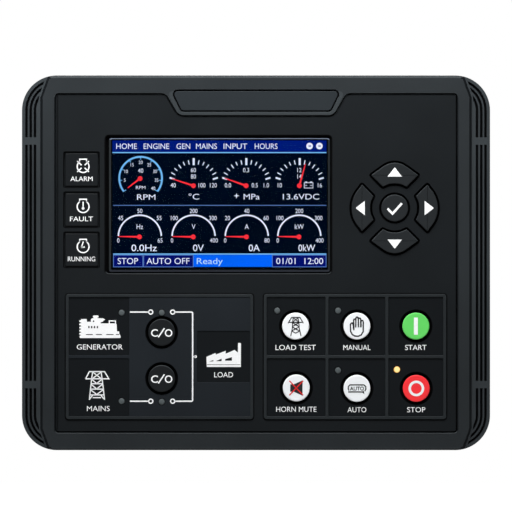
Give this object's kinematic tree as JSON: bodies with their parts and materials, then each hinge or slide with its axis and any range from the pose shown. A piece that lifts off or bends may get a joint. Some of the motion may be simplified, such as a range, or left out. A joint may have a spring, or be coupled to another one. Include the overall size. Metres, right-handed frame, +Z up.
{
  "type": "genset controller",
  "caption": "Flush panel-mounted generator set controller with a colour screen, status windows, sprung keys, a mimic block and plug-in rear terminals.",
  "frame": {"origin": "middle of the panel cut-out, in the plane of the flange's rear face", "axes": "+X to the right seen from the front, +Z up, -Y out of the front face"},
  "size_m": [0.209, 0.0454, 0.1674],
  "materials": {
    "bezel_plastic": "fine satin moulding texture",
    "fascia_plastic": "matt, slightly lighter raised lines",
    "nameplate_plastic": "satin, bare",
    "screen_pane": "clear, bevelled rim",
    "status_pane": "smoked, white line symbols",
    "key_white": "satin, dark symbols",
    "key_green": "satin, white symbol",
    "key_red": "satin, white symbol",
    "key_dark": "matt, white symbols",
    "silicone": "matt",
    "module_steel": "plain",
    "screen_glass": "lit gauges on dark blue",
    "circuit_board": "solder mask",
    "connector_plastic": "matt",
    "relay_plastic": "satin",
    "capacitor_sleeve": "shrunk sleeve",
    "plated_steel": "plated",
    "housing_plastic": "fine spark texture",
    "seal_rubber": "matt",
    "terminal_plastic": "satin",
    "clamp_plastic": "satin",
    "zinc_screw": "zinc plated",
    "lamp_clear": "unlit clear lamp",
    "lamp_lit": "lit amber lamp"
  },
  "bodies": {
    "housing": {"alarm_window": "status_pane", "board_connector": "connector_plastic", "clamp_1": "clamp_plastic", "clamp_2": "clamp_plastic", "clamp_3": "clamp_plastic", "clamp_4": "clamp_plastic", "clamp_screw_1": "zinc_screw", "clamp_screw_2": "zinc_screw", "clamp_screw_3": "zinc_screw", "clamp_screw_4": "zinc_screw", "clock_battery": "plated_steel", "cover_screw_1": "zinc_screw", "cover_screw_2": "zinc_screw", "cover_screw_3": "zinc_screw", "cover_screw_4": "zinc_screw", "display_window": "screen_pane", "fascia_panel": "fascia_plastic", "filter_capacitor": "capacitor_sleeve", "front_bezel": "bezel_plastic", "front_board": "circuit_board", "keypad_mat": "silicone", "lamp_alarm_window": "lamp_clear", "lamp_auto": "lamp_clear", "lamp_generator": "lamp_clear", "lamp_generator_breaker": "lamp_clear", "lamp_mains": "lamp_clear", "lamp_mains_breaker": "lamp_clear", "lamp_manual": "lamp_clear", "lamp_running_window": "lamp_clear", "lamp_stop": "lamp_lit", "lamp_test": "lamp_clear", "lamp_warning_window": "lamp_clear", "lcd_frame": "module_steel", "lcd_glass": "screen_glass", "lower_terminal_header": "terminal_plastic", "lower_terminal_plug": "terminal_plastic", "nameplate": "nameplate_plastic", "panel_gasket": "seal_rubber", "rear_board": "circuit_board", "rear_cover": "housing_plastic", "relay_fuel": "relay_plastic", "relay_start": "relay_plastic", "running_window": "status_pane", "upper_terminal_header": "terminal_plastic", "upper_terminal_plug": "terminal_plastic", "usb_socket": "plated_steel", "warning_window": "status_pane"},
    "up_key": {"key_up": "key_dark"},
    "down_key": {"key_down": "key_dark"},
    "left_key": {"key_left": "key_dark"},
    "right_key": {"key_right": "key_dark"},
    "confirm_key": {"key_confirm": "key_dark"},
    "generator_breaker_key": {"key_generator_breaker": "key_dark"},
    "mains_breaker_key": {"key_mains_breaker": "key_dark"},
    "test_key": {"key_test": "key_white"},
    "manual_key": {"key_manual": "key_white"},
    "start_key": {"key_start": "key_green"},
    "mute_key": {"key_mute": "key_white"},
    "auto_key": {"key_auto": "key_white"},
    "stop_key": {"key_stop": "key_red"}
  },
  "joints": [
    {"name": "up_press", "type": "slide", "parent": "housing", "child": "up_key", "axis": [0, 1, 0], "range_m": [0, 0.001], "stiffness_N_per_m": 1200, "deforming": ["keypad_mat"]},
    {"name": "down_press", "type": "slide", "parent": "housing", "child": "down_key", "axis": [0, 1, 0], "range_m": [0, 0.001], "stiffness_N_per_m": 1200, "deforming": ["keypad_mat"]},
    {"name": "left_press", "type": "slide", "parent": "housing", "child": "left_key", "axis": [0, 1, 0], "range_m": [0, 0.001], "stiffness_N_per_m": 1200, "deforming": ["keypad_mat"]},
    {"name": "right_press", "type": "slide", "parent": "housing", "child": "right_key", "axis": [0, 1, 0], "range_m": [0, 0.001], "stiffness_N_per_m": 1200, "deforming": ["keypad_mat"]},
    {"name": "confirm_press", "type": "slide", "parent": "housing", "child": "confirm_key", "axis": [0, 1, 0], "range_m": [0, 0.001], "stiffness_N_per_m": 1200, "deforming": ["keypad_mat"]},
    {"name": "generator_breaker_press", "type": "slide", "parent": "housing", "child": "generator_breaker_key", "axis": [0, 1, 0], "range_m": [0, 0.001], "stiffness_N_per_m": 1200, "deforming": ["keypad_mat"]},
    {"name": "mains_breaker_press", "type": "slide", "parent": "housing", "child": "mains_breaker_key", "axis": [0, 1, 0], "range_m": [0, 0.001], "stiffness_N_per_m": 1200, "deforming": ["keypad_mat"]},
    {"name": "test_press", "type": "slide", "parent": "housing", "child": "test_key", "axis": [0, 1, 0], "range_m": [0, 0.001], "stiffness_N_per_m": 1200, "deforming": ["keypad_mat"]},
    {"name": "manual_press", "type": "slide", "parent": "housing", "child": "manual_key", "axis": [0, 1, 0], "range_m": [0, 0.001], "stiffness_N_per_m": 1200, "deforming": ["keypad_mat"]},
    {"name": "start_press", "type": "slide", "parent": "housing", "child": "start_key", "axis": [0, 1, 0], "range_m": [0, 0.001], "stiffness_N_per_m": 1200, "deforming": ["keypad_mat"]},
    {"name": "mute_press", "type": "slide", "parent": "housing", "child": "mute_key", "axis": [0, 1, 0], "range_m": [0, 0.001], "stiffness_N_per_m": 1200, "deforming": ["keypad_mat"]},
    {"name": "auto_press", "type": "slide", "parent": "housing", "child": "auto_key", "axis": [0, 1, 0], "range_m": [0, 0.001], "stiffness_N_per_m": 1200, "deforming": ["keypad_mat"]},
    {"name": "stop_press", "type": "slide", "parent": "housing", "child": "stop_key", "axis": [0, 1, 0], "range_m": [0, 0.001], "stiffness_N_per_m": 1200, "deforming": ["keypad_mat"]}
  ]
}
